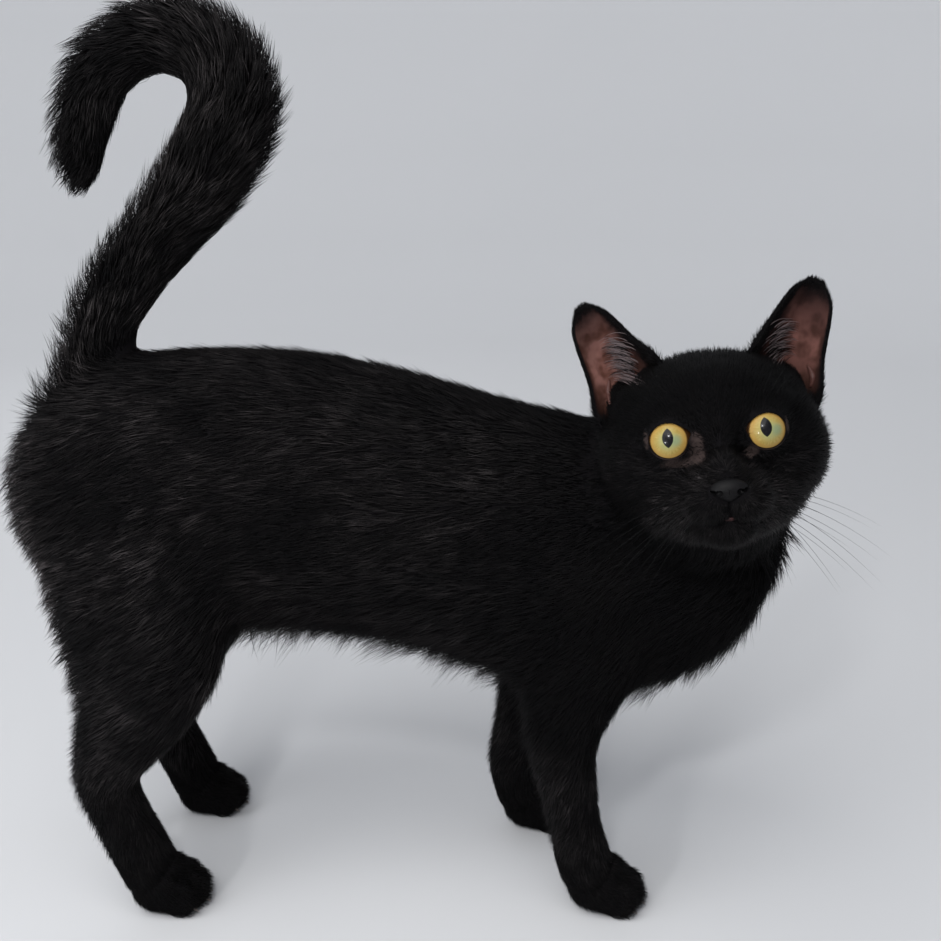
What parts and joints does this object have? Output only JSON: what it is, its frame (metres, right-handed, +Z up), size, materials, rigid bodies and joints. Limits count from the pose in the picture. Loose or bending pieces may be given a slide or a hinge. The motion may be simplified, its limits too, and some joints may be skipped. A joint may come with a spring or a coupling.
{
  "type": "domestic shorthair cat",
  "caption": "Life-size standing black shorthair cat with its head turned to the viewer and its raised tail bent forward in a hook.",
  "frame": {"origin": "on the floor, under the middle of the box round the whole cat", "axes": "+X from the tail towards the chest, +Y towards the cat's left side, +Z up"},
  "size_m": [0.3722, 0.1936, 0.442],
  "materials": {
    "coat": "short, soft black fur with a dull sheen",
    "ear": "thin brown skin inside, black fur outside",
    "eye": "wet gloss over a golden yellow iris"
  },
  "bodies": {
    "root": {"head": "coat", "neck": "coat", "torso": "coat", "tail_root": "coat", "tail_shaft": "coat", "tail_crook": "coat", "tail_hook": "coat", "hind_right_thigh": "coat", "hind_right_shank": "coat", "hind_right_paw": "coat", "hind_left_thigh": "coat", "hind_left_shank": "coat", "hind_left_paw": "coat", "fore_right_upper_arm": "coat", "fore_right_shank": "coat", "fore_right_paw": "coat", "fore_left_upper_arm": "coat", "fore_left_shank": "coat", "fore_left_paw": "coat", "ear_right": "ear", "ear_left": "ear", "eye_right": "eye", "eye_left": "eye"}
  },
  "joints": []
}
